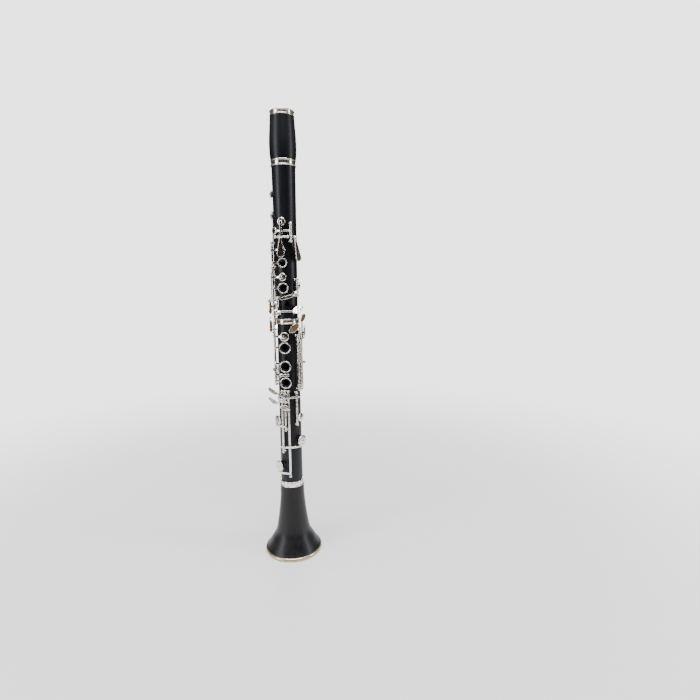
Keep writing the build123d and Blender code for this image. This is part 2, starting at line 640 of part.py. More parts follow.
def ring_on_arm(hole, arm_shift=0):
    """Finger ring and the arm that joins it to the ring hinge line."""
    z, angle, outer, _ = hole
    ring_low = wood_radius(z) + RING_LIFT
    arm(z + arm_shift, RING_LINE, angle - half_angle(2 * outer, ring_low) + 3.5, ring_low + RING_ARM_RISE)
    finger_ring(z, angle, outer, ring_low)


with BuildPart() as index_ring_key:
    tube(RING_POSTS[1:], RING_LINE)
    ring_on_arm(UPPER_HOLES[0])
    key_cup(VENT_PAD)
    cup_arm(VENT_PAD, VENT_PAD[0], RING_LINE)
    finish_key(RING_POSTS[1:], RING_LINE, (VENT_PAD,))

BRIDGE_ANGLE, BRIDGE_LOW_LEVEL, BRIDGE_HIGH_LEVEL = -46, 17.3, 19.6
with BuildPart() as upper_ring_key:
    tube(RING_POSTS[:2], RING_LINE)
    ring_on_arm(UPPER_HOLES[1])
    key_cup(MIDDLE_PAD)
    cup_arm(MIDDLE_PAD, MIDDLE_PAD[0], RING_LINE)
    sector(338.8, 341.2, RING_LINE, BRIDGE_ANGLE + 4, BRIDGE_LOW_LEVEL, BRIDGE_LOW_LEVEL + ARM_THICKNESS)
    sector(322, 341.2, BRIDGE_ANGLE - 4, BRIDGE_ANGLE + 4, BRIDGE_LOW_LEVEL,
           BRIDGE_LOW_LEVEL + ARM_THICKNESS)
    finish_key(RING_POSTS[:2], RING_LINE, (MIDDLE_PAD,))

with BuildPart() as thumb_ring_key:
    tube(THUMB_POSTS, THUMB_LINE)
    thumb_z, _, thumb_ring, _ = THUMB_HOLE
    thumb_level = wood_radius(thumb_z) + RING_LIFT
    arm(thumb_z, THUMB_LINE, half_angle(2 * thumb_ring, thumb_level) - 182.5,
        thumb_level + RING_ARM_RISE, width=5)
    finger_ring(thumb_z, 180, thumb_ring, thumb_level)
    tube_bore(THUMB_POSTS, THUMB_LINE)

A_TOUCH_LEVEL = 22.8
with BuildPart() as throat_a_key:
    cross_bar(A_PIVOT_Z, BALL_RADIUS + END_PLAY - A_PIVOT_X, A_PIVOT_X - BALL_RADIUS - END_PLAY, -A_PIVOT_Y,
              TUBE_RADIUS)
    key_cup(A_PAD)
    with BuildSketch(facing(444, 0, 19.0)) as bar:
        Rectangle(2.8, 21)
    extrude(bar.sketch, amount=ARM_THICKNESS)
    leg(453, 0, cup_top(A_PAD) - 0.4, 20.3, width=2.8)
    leg(433.2, 0, 19.0, A_TOUCH_LEVEL + 1, width=2.8, height=2.4)
    teardrop(421.5, 0, A_TOUCH_LEVEL, 24, 9.8, 180, tip=0.16)
    pad_room(A_PAD[0], 0, A_PAD[2], A_PAD[4])
    cross_bar(A_PIVOT_Z, -10, 10, -A_PIVOT_Y, TUBE_BORE, Mode.SUBTRACT)

with BuildPart() as g_sharp_key:
    tube(G_SHARP_POSTS, G_SHARP_LINE)
    key_cup(G_SHARP_PAD)
    sector(441.3, 443.8, -25, G_SHARP_LINE, 16.05, 17.35)
    leg(435, G_SHARP_LINE, TUBE_LINE, 21.2)
    sector(433.7, 436.3, G_SHARP_LINE, 54, 20.2, 21.5)
    teardrop(420, 60, 20.0, 31, 9.4, 192, tip=0.14)
    finish_key(G_SHARP_POSTS, G_SHARP_LINE, (G_SHARP_PAD,))

REGISTER_BAR_LEVEL = 19.0
with BuildPart() as register_key:
    cross_bar(REGISTER_PIVOT_Z, BALL_RADIUS + END_PLAY - REGISTER_PIVOT_X,
              REGISTER_PIVOT_X - BALL_RADIUS - END_PLAY, REGISTER_PIVOT_Y, TUBE_RADIUS)
    key_cup(REGISTER_PAD)
    with BuildSketch(facing(460, 180, REGISTER_BAR_LEVEL)) as bar:
        Rectangle(3.4, 78)
    extrude(bar.sketch, amount=ARM_THICKNESS)
    leg(497, 180, cup_top(REGISTER_PAD) - 0.4, REGISTER_BAR_LEVEL + 1, width=3.2)
    teardrop(418, 180, REGISTER_BAR_LEVEL, 27, 9.6, 180, tip=0.2)
    pad_room(REGISTER_PAD[0], 180, REGISTER_PAD[2], REGISTER_PAD[4])
    cross_bar(REGISTER_PIVOT_Z, -10, 10, REGISTER_PIVOT_Y, TUBE_BORE, Mode.SUBTRACT)

# Side keys: a cup arm at the top of the tube, a bar down to the touch and the touch
SIDE_TOUCH_LEVEL = 27.5
SIDE_TOUCH_LENGTH, SIDE_TOUCH_WIDTH = 21, 6.8
HIGH_TOUCH_Z, LOW_TOUCH_Z = 346, 321
FRONT_TOUCH_ANGLE, BACK_TOUCH_ANGLE = -109, -128.5


def side_touch(z, angle):
    """Long touch that stands off the body, where the side of the right forefinger presses it."""
    teardrop(z, angle, SIDE_TOUCH_LEVEL, SIDE_TOUCH_LENGTH, SIDE_TOUCH_WIDTH, 180, tip=0.3)


def high_bar(z_low, z_high, angle, level=20.9):
    """Flat bar that runs down the body above the hinge tubes."""
    half = half_angle(ARM_WIDTH, level)
    sector(z_low, z_high, angle - half, angle + half, level, level + ARM_THICKNESS)


with BuildPart() as side_key_1:
    tube(SIDE_FRONT_POSTS[:2], SIDE_LINE_FRONT)
    key_cup(SIDE_PADS[0])
    arm(378, SIDE_LINE_FRONT, SIDE_PADS[0][1], ARM_LOW)
    leg(360.5, SIDE_LINE_FRONT - 2, TUBE_LINE, 22)
    high_bar(327, 361.8, SIDE_LINE_FRONT - 2)
    leg(328.3, SIDE_LINE_FRONT - 2, 21, SIDE_TOUCH_LEVEL + 0.5)
    side_touch(LOW_TOUCH_Z, FRONT_TOUCH_ANGLE)
    finish_key(SIDE_FRONT_POSTS[:2], SIDE_LINE_FRONT, SIDE_PADS[:1])

with BuildPart() as side_key_2:
    tube(SIDE_BACK_POSTS[:2], SIDE_LINE_BACK)
    key_cup(SIDE_PADS[1])
    cup_arm(SIDE_PADS[1], 397.5, SIDE_LINE_BACK, level=20.4)
    sector(340, 342.6, -134, SIDE_LINE_BACK, ARM_LOW, ARM_LOW + ARM_THICKNESS)
    sector(327, 342.6, -136, -129, ARM_LOW, ARM_LOW + ARM_THICKNESS)
    leg(328.3, -133, ARM_LOW, SIDE_TOUCH_LEVEL + 0.5)
    side_touch(LOW_TOUCH_Z, BACK_TOUCH_ANGLE)
    finish_key(SIDE_BACK_POSTS[:2], SIDE_LINE_BACK, SIDE_PADS[1:2])

with BuildPart() as side_key_3:
    tube(SIDE_FRONT_POSTS[1:], SIDE_LINE_FRONT)
    key_cup(SIDE_PADS[2])
    arm(463, SIDE_LINE_FRONT, SIDE_PADS[2][1], ARM_LOW + 0.3)
    leg(390.5, SIDE_LINE_FRONT, TUBE_LINE, 22.2)
    sector(389.2, 391.8, SIDE_LINE_FRONT, -95, 21.2, 22.5)
    high_bar(352, 391.8, -97.5, level=21.2)
    leg(353.2, -97.5, 21.2, SIDE_TOUCH_LEVEL)
    sector(351.9, 354.5, FRONT_TOUCH_ANGLE, -94.5, SIDE_TOUCH_LEVEL - 1, SIDE_TOUCH_LEVEL + 0.3)
    side_touch(HIGH_TOUCH_Z, FRONT_TOUCH_ANGLE)
    finish_key(SIDE_FRONT_POSTS[1:], SIDE_LINE_FRONT, SIDE_PADS[2:3])

with BuildPart() as side_key_4:
    tube(SIDE_BACK_POSTS[1:], SIDE_LINE_BACK)
    key_cup(SIDE_PADS[3])
    arm(490, SIDE_LINE_BACK, SIDE_PADS[3][1], ARM_LOW + 0.4)
    leg(409.5, SIDE_LINE_BACK, TUBE_LINE, 22.2)
    sector(408.2, 410.8, -143, SIDE_LINE_BACK, 21.2, 22.5)
    high_bar(352, 410.8, -139.5, level=21.2)
    leg(353.2, -139.5, 21.2, SIDE_TOUCH_LEVEL)
    sector(351.9, 354.5, -142.5, BACK_TOUCH_ANGLE, SIDE_TOUCH_LEVEL - 1, SIDE_TOUCH_LEVEL + 0.3)
    side_touch(HIGH_TOUCH_Z, BACK_TOUCH_ANGLE)
    finish_key(SIDE_BACK_POSTS[1:], SIDE_LINE_BACK, SIDE_PADS[3:4])

E_FLAT_TOUCH_LEVEL = 19.0
with BuildPart() as e_flat_key:
    tube(E_FLAT_POSTS, E_FLAT_LINE)
    key_cup(E_FLAT_PAD)
    arm(374, E_FLAT_LINE, E_FLAT_PAD[1] - 6, cup_top(E_FLAT_PAD) - 0.9)
    sector(364, 367, 38, E_FLAT_LINE, E_FLAT_TOUCH_LEVEL, E_FLAT_TOUCH_LEVEL + TOUCH_THICKNESS)
    sector(360.2, 367, 36, 43, E_FLAT_TOUCH_LEVEL, E_FLAT_TOUCH_LEVEL + 2 * TOUCH_THICKNESS)
    leaf(359.3, 15, E_FLAT_TOUCH_LEVEL, 25, 4.6, 14)
    finish_key(E_FLAT_POSTS, E_FLAT_LINE, (E_FLAT_PAD,))

C_SHARP_ARM_LEVEL = 20.2
with BuildPart() as c_sharp_key:
    tube(C_SHARP_POSTS, C_SHARP_LINE)
    key_cup(C_SHARP_PAD)
    cup_arm(C_SHARP_PAD, 347, C_SHARP_LINE, level=C_SHARP_ARM_LEVEL)
    leg(341.2, C_SHARP_LINE, TUBE_LINE, C_SHARP_ARM_LEVEL + 1)
    sector(340, 342.4, C_SHARP_LINE, 46, C_SHARP_ARM_LEVEL, C_SHARP_ARM_LEVEL + ARM_THICKNESS)
    leaf(343.5, 54, C_SHARP_ARM_LEVEL + 0.6, 21, 9.5, 18)
    finish_key(C_SHARP_POSTS, C_SHARP_LINE, (C_SHARP_PAD,))

# ---------------------------------------------------------------- keys of the lower joint
with BuildPart() as lower_ring_key:
    tube(LOWER_RING_POSTS, RING_LINE)
    for hole, arm_shift in zip(LOWER_HOLES, (0, 3.5, 2)):
        ring_on_arm(hole, arm_shift)
    key_cup(TOP_RING_PAD)
    cup_arm(TOP_RING_PAD, TOP_RING_PAD[0], RING_LINE)
    leg(312.5, RING_LINE, TUBE_LINE, BRIDGE_HIGH_LEVEL + 1)
    sector(311.3, 313.9, RING_LINE, BRIDGE_ANGLE + 4, BRIDGE_HIGH_LEVEL, BRIDGE_HIGH_LEVEL + ARM_THICKNESS)
    sector(311.3, 328, BRIDGE_ANGLE - 4, BRIDGE_ANGLE + 4, BRIDGE_HIGH_LEVEL,
           BRIDGE_HIGH_LEVEL + ARM_THICKNESS)
    finish_key(LOWER_RING_POSTS, RING_LINE, (TOP_RING_PAD,))

B_TOUCH_LEVEL = 19.2
with BuildPart() as b_key:
    tube(B_POSTS, B_LINE)
    key_cup(B_PAD)
    cup_arm(B_PAD, 262, B_LINE, level=20.3)
    leg(257.2, B_LINE, TUBE_LINE, B_TOUCH_LEVEL + 1)
    sector(255.4, 258.8, B_LINE - 4, 16, B_TOUCH_LEVEL, B_TOUCH_LEVEL + TOUCH_THICKNESS)
    finish_key(B_POSTS, B_LINE, (B_PAD,))

# Little-finger keys of the right hand: four leaf touches in two rows
LEAF_LEVEL, LEAF_WIDTH, LEAF_TURN = 22.8, 7.2, -20
LEFT_LEAF, LEFT_SHIFT, LEFT_LENGTH = -22, -9.5, 20
RIGHT_LEAF, RIGHT_SHIFT, RIGHT_LENGTH = 0, 0, 16
CROSS_LEVEL = 21.2


def little_finger_leaf(z, angle, shift, length):
    """One of the four leaf-shaped touches, shifted sideways in its own plane."""
    plane = facing(z, angle, LEAF_LEVEL, LEAF_TURN)
    plane.origin += Vector(cos(radians(angle)), sin(radians(angle)), 0) * shift
    with BuildSketch(plane) as outline:
        with BuildLine():
            ThreePointArc((-length / 2, 0), (0, LEAF_WIDTH / 2), (length / 2, 0))
            ThreePointArc((length / 2, 0), (0, -LEAF_WIDTH / 2), (-length / 2, 0))
        make_face()
        fillet(outline.vertices(), radius=LEAF_WIDTH * 0.3)
    extrude(outline.sketch, amount=TOUCH_THICKNESS)


with BuildPart() as e_key:
    tube(E_POSTS, E_LINE, LOW_KEY_LINE)
    key_cup(E_PAD)
    arm(120.5, E_LINE, E_PAD[1], cup_top(E_PAD) - 0.9)
    leg(120.5, E_LINE, LOW_KEY_LINE, cup_top(E_PAD) + 0.2)
    sector(119.4, 128.5, E_PAD[1] - 4, E_PAD[1] + 4, cup_top(E_PAD) - 0.95, cup_top(E_PAD) + 0.35)
    leg(221.4, E_LINE, LOW_KEY_LINE, CROSS_LEVEL + 1, height=2.0)
    sector(220.4, 222.4, -30, E_LINE, CROSS_LEVEL, CROSS_LEVEL + ARM_THICKNESS)
    leg(221.4, -30, CROSS_LEVEL, LEAF_LEVEL + 0.5, height=2.0)
    little_finger_leaf(221.3, LEFT_LEAF, LEFT_SHIFT, LEFT_LENGTH)
    finish_key(E_POSTS, E_LINE, (E_PAD,), LOW_KEY_LINE)

with BuildPart() as f_sharp_key:
    tube(F_SHARP_POSTS, F_SHARP_LINE, LOW_KEY_LINE)
    key_cup(F_SHARP_PAD)
    leg(187, F_SHARP_LINE, LOW_KEY_LINE, CROSS_LEVEL + 1)
    arm(187, F_SHARP_LINE, F_SHARP_PAD[1], CROSS_LEVEL)
    sector(185.7, 194, F_SHARP_PAD[1] - 4, F_SHARP_PAD[1] + 4, cup_top(F_SHARP_PAD) - 0.9,
           CROSS_LEVEL + ARM_THICKNESS)
    leg(224, F_SHARP_LINE, LOW_KEY_LINE, CROSS_LEVEL + 1, height=2.0)
    sector(223, 225, -23, F_SHARP_LINE, CROSS_LEVEL, CROSS_LEVEL + ARM_THICKNESS)
    sector(223, 232.5, -30, -22.5, CROSS_LEVEL, CROSS_LEVEL + ARM_THICKNESS)
    leg(231, -27, CROSS_LEVEL, LEAF_LEVEL + 0.5)
    little_finger_leaf(234.5, LEFT_LEAF, LEFT_SHIFT, LEFT_LENGTH)
    finish_key(F_SHARP_POSTS, F_SHARP_LINE, (F_SHARP_PAD,), LOW_KEY_LINE)

with BuildPart() as f_key:
    tube(F_POSTS, F_LINE, LOW_KEY_LINE)
    key_cup(F_PAD)
    leg(158, F_LINE, LOW_KEY_LINE, CROSS_LEVEL + 1.8)
    arm(158, F_LINE, F_PAD[1], CROSS_LEVEL + 0.6)
    sector(156.7, 164, F_PAD[1] - 4, F_PAD[1] + 4, cup_top(F_PAD) - 0.9, CROSS_LEVEL + 1.9)
    leg(214.5, F_LINE + 2, LOW_KEY_LINE, LEAF_LEVEL + 1)
    sector(213.2, 216, F_LINE, -4, LEAF_LEVEL, LEAF_LEVEL + TOUCH_THICKNESS)
    little_finger_leaf(213.5, RIGHT_LEAF, RIGHT_SHIFT, RIGHT_LENGTH)
    finish_key(F_POSTS, F_LINE, (F_PAD,), LOW_KEY_LINE)

with BuildPart() as a_flat_key:
    tube(A_FLAT_POSTS, A_FLAT_LINE, LOW_KEY_LINE)
    key_cup(A_FLAT_PAD)
    arm(196, A_FLAT_LINE, A_FLAT_PAD[1], cup_top(A_FLAT_PAD) - 0.9)
    leg(227.3, A_FLAT_LINE, LOW_KEY_LINE, LEAF_LEVEL + 1)
    sector(226, 228.6, 8, A_FLAT_LINE, LEAF_LEVEL, LEAF_LEVEL + TOUCH_THICKNESS)
    little_finger_leaf(229.5, RIGHT_LEAF, RIGHT_SHIFT, RIGHT_LENGTH)
    finish_key(A_FLAT_POSTS, A_FLAT_LINE, (A_FLAT_PAD,), LOW_KEY_LINE)

# Left-hand levers: a spatula above the top of the tube and a short arm at its foot
LEVER_TOUCH_LEVEL = 21.6
LEVERS = (("e_lever", LEVER_LINES[0], 319.5, 37, 36), ("f_lever", LEVER_LINES[1], 332, 79, 24),
          ("f_sharp_lever", LEVER_LINES[2], 314, 94, 78))
lever_parts = []
for name, line, touch_z, touch_angle, turn in LEVERS:
    side = 1 if touch_angle > line else -1
    with BuildPart() as lever:
        tube(LEVER_POSTS, line)
        sector(240, 242.6, *sorted((line, line - 8)), ARM_LOW, ARM_LOW + ARM_THICKNESS)
        leg(304.5, line, TUBE_LINE, 21.7)
        sector(303.2, touch_z, line - 4, line + 4, 20.8, 22.1)
        sector(touch_z - 3, touch_z, *sorted((line - side * 4, (line + 2 * touch_angle) / 3)), 20.8, 22.1)
        leaf(touch_z, touch_angle, LEVER_TOUCH_LEVEL, 19, 9, turn)
        tube_bore(LEVER_POSTS, line)
    lever_parts.append((name, lever.part))

# ---------------------------------------------------------------- files
PIECES = (("upper_joint", upper_joint), ("lower_joint", lower_joint), ("lower_joint_ring", lower_joint_ring),
          ("tenon_corks", tenon_corks), ("barrel", barrel), ("barrel_bottom_ring", barrel_bottom_ring),
          ("barrel_top_ring", barrel_top_ring), ("bell", bell), ("bell_socket_ring", bell_socket_ring),
          ("bell_rim_ring", bell_rim_ring), ("thumb_tube", thumb_tube), ("thumb_rest", thumb_rest),
          ("thumb_rest_screws", thumb_rest_screws), ("upper_posts", upper_posts),
          ("lower_posts", lower_posts), ("upper_rods", upper_rods), ("lower_rods", lower_rods),
          ("needle_springs", needle_springs), ("index_ring_key", index_ring_key),
          ("upper_ring_key", upper_ring_key), ("thumb_ring_key", thumb_ring_key),
          ("throat_a_key", throat_a_key), ("g_sharp_key", g_sharp_key), ("register_key", register_key),
          ("side_key_1", side_key_1), ("side_key_2", side_key_2), ("side_key_3", side_key_3),
          ("side_key_4", side_key_4), ("e_flat_key", e_flat_key), ("c_sharp_key", c_sharp_key),
          ("lower_ring_key", lower_ring_key), ("b_key", b_key), ("e_key", e_key),
          ("f_sharp_key", f_sharp_key), ("f_key", f_key), ("a_flat_key", a_flat_key))
for name, piece in PIECES:
    piece.part.label = name
    export_step(piece.part, f"parts/{name}.step")
for name, piece in lever_parts:
    piece.label = name
    export_step(piece, f"parts/{name}.step")

PADS = (("register_pad", REGISTER_PAD), ("throat_a_pad", A_PAD), ("g_sharp_pad", G_SHARP_PAD),
        ("vent_pad", VENT_PAD), ("middle_pad", MIDDLE_PAD), ("side_pad_1", SIDE_PADS[0]),
        ("side_pad_2", SIDE_PADS[1]), ("side_pad_3", SIDE_PADS[2]), ("side_pad_4", SIDE_PADS[3]),
        ("e_flat_pad", E_FLAT_PAD), ("c_sharp_pad", C_SHARP_PAD), ("top_ring_pad", TOP_RING_PAD),
        ("b_pad", B_PAD), ("f_sharp_pad", F_SHARP_PAD), ("a_flat_pad", A_FLAT_PAD), ("f_pad", F_PAD),
        ("e_pad", E_PAD))
for name, (z, angle, pad_radius, _, lift) in PADS:
    make_pad(name, z, angle, pad_radius, lift)
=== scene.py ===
import json
from math import atan, cos, hypot, pi, radians, sin

import bmesh
import bpy
from mathutils import Matrix, Vector


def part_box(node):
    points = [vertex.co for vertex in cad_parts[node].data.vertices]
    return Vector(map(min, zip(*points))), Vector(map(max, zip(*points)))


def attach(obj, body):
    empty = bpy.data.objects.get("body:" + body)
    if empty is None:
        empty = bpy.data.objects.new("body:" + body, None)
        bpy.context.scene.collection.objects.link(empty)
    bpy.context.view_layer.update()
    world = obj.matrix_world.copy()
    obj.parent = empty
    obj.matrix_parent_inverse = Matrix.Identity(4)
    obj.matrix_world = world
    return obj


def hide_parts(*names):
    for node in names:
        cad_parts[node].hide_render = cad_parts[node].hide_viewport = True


# Looks of the clarinet: turned wood, plated rings and keys, a plain studio and the camera. Everything is in
# metres, except where a name or a comment says millimetres. Z runs up the bore, and the front is -Y.
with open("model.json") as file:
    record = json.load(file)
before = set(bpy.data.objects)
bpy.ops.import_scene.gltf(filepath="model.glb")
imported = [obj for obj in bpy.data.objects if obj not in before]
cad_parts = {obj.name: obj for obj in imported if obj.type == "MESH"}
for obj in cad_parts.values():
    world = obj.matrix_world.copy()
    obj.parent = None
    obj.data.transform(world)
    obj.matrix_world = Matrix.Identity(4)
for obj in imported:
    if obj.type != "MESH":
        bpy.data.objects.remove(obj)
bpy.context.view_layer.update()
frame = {"nodes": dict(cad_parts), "record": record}

MM = 0.001
NODES = frame["nodes"]
BODY_OF = {node: body for body, nodes in frame["record"]["behaviour"]["bodies"].items() for node in nodes}
SLOT_OF = {part["node"]: part["material_slot"] for part in frame["record"]["subparts"]}


# ---------------------------------------------------------------- shader helpers
class NodeTree:
    """A node tree, with short calls for the nodes that the materials and the world share."""

    def __init__(self, tree):
        self.tree = tree

    def add(self, kind, **values):
        node = self.tree.nodes.new(kind)
        for key, value in values.items():
            setattr(node, key, value)
        return node

    def link(self, source, target):
        self.tree.links.new(source, target)

    def feed(self, socket, value):
        """Link a socket to a value that is a socket, or set it to a number or a colour."""
        if isinstance(value, bpy.types.NodeSocket):
            self.link(value, socket)
        else:
            socket.default_value = (*value, 1) if isinstance(value, tuple) else value

    def noise(self, vector, scale, detail, roughness=0.5, distortion=0.0):
        node = self.add("ShaderNodeTexNoise")
        node.inputs["Scale"].default_value = scale
        node.inputs["Detail"].default_value = detail
        node.inputs["Roughness"].default_value = roughness
        node.inputs["Distortion"].default_value = distortion
        self.link(vector, node.inputs["Vector"])
        return node.outputs["Fac"]

    def ramp(self, source, stops):
        """Colour or grey ramp from (place, colour) stops."""
        node = self.add("ShaderNodeValToRGB")
        elements = node.color_ramp.elements
        while len(elements) < len(stops):
            elements.new(0.5)
        for element, (place, colour) in zip(elements, stops):
            element.position = place
            element.color = (*colour, 1) if isinstance(colour, tuple) else (colour, colour, colour, 1)
        self.link(source, node.inputs["Fac"])
        return node.outputs["Color"]

    def spread(self, source, low, high, start=0.3, end=0.7, **values):
        """A value between start and end stretched to a range; noise lies mostly between 0.3 and 0.7."""
        node = self.add("ShaderNodeMapRange", **values)
        node.inputs["From Min"].default_value = start
        node.inputs["From Max"].default_value = end
        node.inputs["To Min"].default_value = low
        node.inputs["To Max"].default_value = high
        self.link(source, node.inputs["Value"])
        return node.outputs["Result"]

    def mix(self, factor, first, second, blend="MIX"):
        """Mix of two colours; each of the three inputs is a socket or a value."""
        node = self.add("ShaderNodeMix", data_type="RGBA", blend_type=blend)
        factor_socket, first_colour, second_colour = (node.inputs[i] for i in (0, 6, 7))
        self.feed(factor_socket, factor)
        self.feed(first_colour, first)
        self.feed(second_colour, second)
        mixed_colour = node.outputs[2]
        return mixed_colour


class Shader(NodeTree):
    """A material made of nodes, laid out in the object's own coordinates."""

    def __init__(self, name):
        self.material = bpy.data.materials.new(name)
        self.material.use_nodes = True
        super().__init__(self.material.node_tree)
        self.surface = self.tree.nodes["Principled BSDF"]
        self.place = self.add("ShaderNodeTexCoord").outputs["Object"]

    def scaled(self, scale):
        """Object coordinates stretched by a scale along each axis."""
        node = self.add("ShaderNodeMapping")
        node.inputs["Scale"].default_value = scale
        self.link(self.place, node.inputs["Vector"])
        return node.outputs["Vector"]

    def bump(self, height, distance, strength, below=None):
        """Bump of a height pattern, laid over the bump below it."""
        node = self.add("ShaderNodeBump")
        node.inputs["Strength"].default_value = strength
        node.inputs["Distance"].default_value = distance
        self.link(height, node.inputs["Height"])
        if below is not None:
            self.link(below, node.inputs["Normal"])
        return node.outputs["Normal"]

    def set(self, **values):
        """Set or link sockets of the surface, named with _ for a space."""
        for key, value in values.items():
            socket = self.surface.inputs[key.replace("_", " ")]
            if isinstance(value, bpy.types.NodeSocket):
                self.link(value, socket)
            else:
                socket.default_value = value


# ---------------------------------------------------------------- materials
def wood(name, dark, light, coat_tint):
    """Oiled grenadilla: almost black, with fine straight pores and slow colour bands along the bore.

    Dark and light are the colours of the bands, and coat_tint the colour of the oil's gloss.
    """
    shader = Shader(name)
    bands = shader.noise(shader.scaled((1, 1, 0.06)), 260, detail=6, roughness=0.62)
    pores = shader.noise(shader.scaled((1, 1, 0.035)), 1500, detail=3, roughness=0.7)
    slow = shader.noise(shader.place, 28, detail=2)
    colour = shader.ramp(bands, ((0.34, dark), (0.56, light), (0.74, dark)))
    colour = shader.mix(shader.spread(slow, 0.0, 0.55), colour, dark)
    colour = shader.mix(shader.ramp(pores, ((0.30, 0.85), (0.40, 0.0))), colour, (0.002, 0.002, 0.002))
    shader.set(Base_Color=colour, Roughness=shader.spread(bands, 0.34, 0.46), Specular_IOR_Level=0.26,
               Coat_Weight=0.10, Coat_Roughness=0.25, Coat_Tint=(*coat_tint, 1))
    fine = shader.bump(pores, 0.00005, 0.35)
    shader.set(Normal=shader.bump(bands, 0.0001, 0.2, fine))
    return shader.material


def plated(name, clean, dull, low, high, hand_work):
    """Silver plate or gilt: mirror metal with polishing marks, tarnish in patches and a hand-filed swell.

    Clean and dull are its colours, low and high its roughness, and hand_work the strength of the swell.
    """
    shader = Shader(name)
    tarnish = shader.noise(shader.place, 130, detail=5, roughness=0.6)
    marks = shader.noise(shader.scaled((1, 1, 0.2)), 2600, detail=4, roughness=0.65)
    wipes = shader.noise(shader.scaled((1.4, 1, 0.6)), 420, detail=3, distortion=0.6)
    colour = shader.mix(shader.ramp(tarnish, ((0.42, 0.0), (0.72, 1.0))), clean, dull)
    shader.set(Base_Color=colour, Metallic=1.0, Roughness=shader.spread(wipes, low, high))
    swell = shader.bump(shader.noise(shader.place, 190, detail=1), 0.0009, hand_work)
    shader.set(Normal=shader.bump(marks, 0.00002, 0.15, shader.bump(wipes, 0.00005, 0.1, swell)))
    return shader.material


def turned_steel(name, first_colour, second_colour, roughness):
    """Drawn or turned steel with fine marks round the rod."""
    shader = Shader(name)
    rings = shader.noise(shader.scaled((0.15, 0.15, 1)), 5200, detail=3, roughness=0.7)
    stain = shader.noise(shader.place, 300, detail=3)
    shader.set(Base_Color=shader.mix(shader.spread(stain, 0, 1), first_colour, second_colour), Metallic=1.0,
               Roughness=shader.spread(rings, roughness, roughness + 0.16))
    shader.set(Normal=shader.bump(rings, 0.00003, 0.35))
    return shader.material


def pad_skin(name):
    """Fish skin stretched over felt: cream, blotched and faintly wrinkled."""
    shader = Shader(name)
    wrinkles = shader.noise(shader.place, 900, detail=6, roughness=0.6, distortion=0.8)
    blotch = shader.noise(shader.place, 240, detail=2)
    colour = shader.mix(shader.spread(blotch, 0, 1), (0.83, 0.75, 0.56), (0.62, 0.49, 0.30))
    shader.set(Base_Color=colour, Roughness=shader.spread(wrinkles, 0.38, 0.55), Subsurface_Weight=0.08,
               Subsurface_Radius=(0.0015, 0.001, 0.0006), Coat_Weight=0.15, Coat_Roughness=0.3)
    shader.set(Normal=shader.bump(wrinkles, 0.00012, 0.5))
    return shader.material


def cork(name):
    """Waxed sheet cork with dark pits and light grains."""
    shader = Shader(name)
    cells = shader.add("ShaderNodeTexVoronoi")
    cells.inputs["Scale"].default_value = 900
    shader.link(shader.scaled((1, 1, 0.7)), cells.inputs["Vector"])
    pits = shader.noise(shader.place, 420, detail=5, roughness=0.7)
    colour = shader.ramp(cells.outputs["Distance"], ((0.1, (0.62, 0.42, 0.22)), (0.8, (0.42, 0.26, 0.12))))
    colour = shader.mix(shader.ramp(pits, ((0.30, 1.0), (0.40, 0.0))), colour, (0.12, 0.06, 0.03))
    shader.set(Base_Color=colour, Roughness=shader.spread(pits, 0.6, 0.8))
    shader.set(Normal=shader.bump(pits, 0.0002, 0.6))
    return shader.material


MATERIALS = {
    "grenadilla": wood("grenadilla", (0.0014, 0.0017, 0.0034), (0.0045, 0.0046, 0.0078), (0.75, 0.85, 1.0)),
    "bell_wood": wood("bell_wood", (0.0020, 0.0020, 0.0030), (0.0085, 0.0066, 0.0072), (0.8, 0.85, 1.0)),
    "silver_rings": plated("silver_rings", (0.88, 0.86, 0.81), (0.66, 0.59, 0.48), 0.10, 0.20, 0.05),
    "silver_keys": plated("silver_keys", (0.92, 0.905, 0.88), (0.70, 0.63, 0.53), 0.07, 0.17, 0.45),
    "silver_posts": plated("silver_posts", (0.88, 0.86, 0.82), (0.64, 0.58, 0.48), 0.09, 0.19, 0.1),
    "rim_brass": plated("rim_brass", (0.58, 0.47, 0.28), (0.38, 0.29, 0.16), 0.22, 0.34, 0.08),
    "steel_rods": turned_steel("steel_rods", (0.46, 0.46, 0.48), (0.62, 0.61, 0.60), 0.22),
    "blued_steel": turned_steel("blued_steel", (0.03, 0.05, 0.14), (0.10, 0.12, 0.24), 0.25),
    "pads": pad_skin("pads"),
    "cork": cork("cork"),
}


for node, cad_piece in NODES.items():
    for material_slot in cad_piece.material_slots:
        material_slot.material = MATERIALS[SLOT_OF[node]]


# ---------------------------------------------------------------- mesh helpers
def stand_in(node, ending, mesh):
    """Link a mesh as the piece that stands for a CAD node, on its body and in its finish."""
    mesh.materials.clear()
    mesh.materials.append(MATERIALS[SLOT_OF[node]])
    piece = bpy.data.objects.new(node + ending, mesh)
    bpy.context.scene.collection.objects.link(piece)
    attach(piece, BODY_OF[node])
    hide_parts(node)
    return piece


def smooth_by_angle(mesh, angle):
    """Smooth shading that keeps edges sharper than the angle, in degrees."""
    mesh.shade_smooth()
    work = bmesh.new()
    work.from_mesh(mesh)
    for edge in work.edges:
        if len(edge.link_faces) == 2:
            edge.smooth = edge.calc_face_angle(0) < radians(angle)
    work.to_mesh(mesh)
    work.free()


